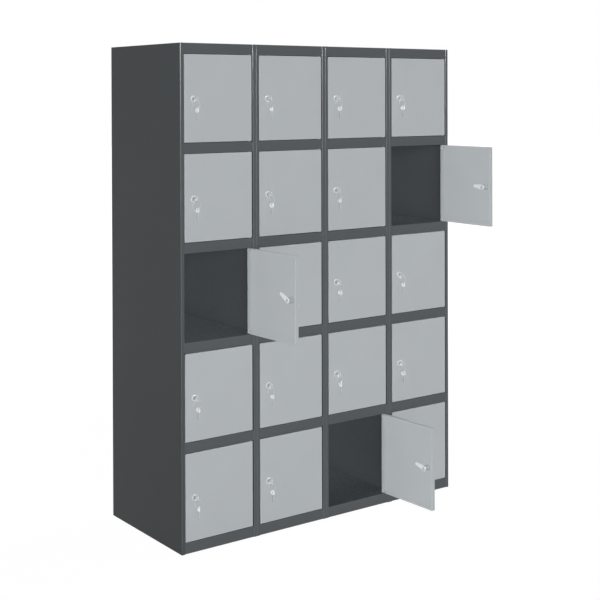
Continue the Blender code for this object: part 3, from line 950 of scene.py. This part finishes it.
def side_mesh(x, inward, flange):
    """A side with its front flange and return and its back flange, in one folded sheet."""
    def at(reach, y, radius=0.0):
        return x + inward * reach, y, radius

    outline = rounded([
        at(0, FRONT, SHEET_BEND),
        at(flange, FRONT, SHEET_BEND),
        at(flange, FRONT + FLANGE_RETURN),
        at(flange - SHEET, FRONT + FLANGE_RETURN),
        at(flange - SHEET, FRONT + SHEET, INNER_BEND),
        at(SHEET, FRONT + SHEET, INNER_BEND),
        at(SHEET, BACK - SHEET, INNER_BEND),
        at(BACK_FLANGE, BACK - SHEET),
        at(BACK_FLANGE, BACK),
        at(0, BACK, SHEET_BEND),
    ], BEND_STEPS)
    return folded(mesh_of(plate(outline, 0, HEIGHT, level)))


def divider_mesh(x):
    """A divider with its two front flanges that meet in a seam, slotted for the sheets that lap it."""
    web = DIVIDER_WEB / 2
    front, rear = FRONT + SHEET, FRONT + FLANGE_RETURN
    left, right = x - HINGE_FLANGE, x + LOCK_FLANGE
    slot_left, slot_right = x + SEAM_SHIFT - SEAM_SLOT / 2, x + SEAM_SHIFT + SEAM_SLOT / 2
    outline = rounded([
        (left, rear, 0), (left, FRONT, SHEET_BEND), (slot_left, FRONT, SEAM_LEFT_BEND),
        (slot_left, FRONT + SEAM_DEPTH, 0), (slot_right, FRONT + SEAM_DEPTH, 0),
        (slot_right, FRONT, SEAM_RIGHT_BEND), (right, FRONT, SHEET_BEND),
        (right, rear, 0), (right - SHEET, rear, 0), (right - SHEET, front, INNER_BEND),
        (x + web, front, INNER_BEND), (x + web, INNER_BACK, 0), (x - web, INNER_BACK, 0),
        (x - web, front, INNER_BEND), (left + SHEET, front, INNER_BEND), (left + SHEET, rear, 0),
    ], BEND_STEPS)
    across = (x - OVERRUN, x + OVERRUN)
    behind_post = (rear + FIT, BACK)
    cutters = [
        box_cutter(*across, *behind_post, HEIGHT - SHEET - FIT, HEIGHT + OVERRUN),
        box_cutter(*across, *behind_post, -OVERRUN, SHEET + FIT),
    ]
    for top in SHELF_TOPS:
        cutters.append(box_cutter(*across, LAP, BACK, top - SHEET - FIT, top + FIT))
    return folded(cut(plate(outline, 0, HEIGHT, level), cutters))


def rail_section(top, height):
    """Side outline of a rail: top edge, front face and the return at its foot."""
    face, rear, foot = FRONT + RAIL_SETBACK, FRONT + RAIL_RETURN, top - height
    return rounded([
        (rear, top, 0), (face, top, SHEET_BEND), (face, foot, SHEET_BEND), (rear, foot, 0),
        (rear, foot + SHEET, 0), (face + SHEET, foot + SHEET, INNER_BEND),
        (face + SHEET, top - SHEET, INNER_BEND), (rear, top - SHEET, 0),
    ], BEND_STEPS)


def column_left(column):
    """X of a column's left boundary."""
    return -WIDTH / 2 + (column - 1) * PITCH


def sheet_outline(rear, lapped):
    """A full-width sheet from above, with slots halfway back for the dividers if it laps them."""
    behind_post = FRONT + FLANGE_RETURN + FIT
    slot = DIVIDER_WEB / 2 + FIT
    side = WIDTH / 2 - SHEET - FIT
    points = [(-side, rear), (-side, behind_post)]
    if lapped:
        for column in range(2, COLUMNS + 1):
            x = column_left(column)
            points += [(x - slot, behind_post), (x - slot, LAP + FIT)]
            points += [(x + slot, LAP + FIT), (x + slot, behind_post)]
    points += [(side, behind_post), (side, rear)]
    return [Vector(point) for point in points]


def sheet_mesh(top, height, rear, lapped, holes):
    """A full-width sheet folded down into a rail in each column, with pin holes between two heights."""
    steps = []
    for column in range(1, COLUMNS + 1):
        left = column_left(column)
        ends = left + LOCK_FLANGE + FIT, left + PITCH - HINGE_FLANGE - FIT
        steps.append(("UNION", plate(rail_section(top, height), *ends, edgewise)))
    for column in range(1, COLUMNS + 1):
        x = FIRST_PIVOT.x + (column - 1) * PITCH
        hole = circle(x, FIRST_PIVOT.y, PIN_RADIUS + PIN_HOLE_GAP, PIN_SIDES)
        steps.append(("DIFFERENCE", plate(hole, *holes, level)))
    sheet = plate(sheet_outline(rear, lapped), top - SHEET, top, level)
    return folded(combined(sheet, steps))


def lifted(mesh, height):
    """A copy of a mesh that is drawn at z = 0, at its height."""
    copy = mesh.copy()
    copy.transform(Matrix.Translation((0, 0, height)))
    return copy


def post_cap_mesh(left, right):
    """A small cap that closes the top of a hollow post, just below its rim."""
    low_x, high_x = left + SHEET + CLEAR, right - SHEET - CLEAR
    low_y, high_y = FRONT + SHEET + CLEAR, FRONT + FLANGE_RETURN
    outline = rounded([
        (low_x, low_y, CAP_CORNER), (high_x, low_y, CAP_CORNER), (high_x, high_y, 0), (low_x, high_y, 0),
    ], 3)
    top = HEIGHT - CAP_DROP
    return finished(mesh_of(plate(outline, top - SHEET, top, level, 0.0002)), DARK)


def carcass():
    """The folded carcass. Its back panel and base tray keep their CAD shapes."""
    paint = "dark_grey_paint"
    for name in ("back_panel", "base_tray"):
        node = frame["nodes"][name]
        for slot in node.material_slots:
            slot.material = DARK
        group(node, "carcass", paint)
    *between, lowest = SHELF_TOPS
    rail_foot = HEIGHT - TOP_RAIL
    shelf = sheet_mesh(0.0, SHELF_RAIL, INNER_BACK, True, (-SHELF_RAIL - OVERRUN, OVERRUN))
    pieces = [
        ("left_side", "side_left", side_mesh(-WIDTH / 2, 1, LOCK_FLANGE)),
        ("right_side", "side_right", side_mesh(WIDTH / 2, -1, HINGE_FLANGE)),
    ]
    for number in range(1, COLUMNS):
        pieces.append((f"post_and_web_{number}", f"divider_{number}", divider_mesh(column_left(number + 1))))
    pieces.append(("top_sheet", "top_panel", sheet_mesh(
        HEIGHT, TOP_RAIL, BACK - SHEET - FIT, False, (rail_foot - OVERRUN, rail_foot + PIN_REACH))))
    for number, top in enumerate(between, start=1):
        pieces.append((f"shelf_sheet_{number}", f"shelf_{number}", lifted(shelf, top)))
    pieces.append(("bottom_sheet", "bottom_shelf", sheet_mesh(
        lowest, BASE_RAIL, INNER_BACK, True, (lowest - PIN_REACH, lowest + OVERRUN))))
    for name, node, mesh in pieces:
        place(name, mesh, Matrix.Identity(4), "carcass", paint, node)
    for number in range(1, COLUMNS + 2):
        x = column_left(number)
        left = x if number == 1 else x - HINGE_FLANGE
        right = x if number == COLUMNS + 1 else x + LOCK_FLANGE
        place(f"post_cap_{number}", post_cap_mesh(left, right), Matrix.Identity(4), "carcass", paint)


def doors():
    """The twenty doors with their locks, which share one mesh for each kind of piece."""
    meshes = {
        "door": door_mesh(), "pin": hinge_pin(), "lock_body": lock_body_mesh(), "nut": nut_mesh(),
        "plug": plug_mesh(), "cam": cam_mesh(), "bolt": bolt_mesh(), "key": key_mesh(),
        "spare": spare_key_mesh(), "ring": ring_mesh(),
    }
    for column in range(1, COLUMNS + 1):
        for row in range(1, TIERS + 1):
            door_and_lock(column, row, meshes)


camera()
world()
floor()
lamps()
carcass()
doors()
bpy.context.scene.view_settings.view_transform = "Standard"
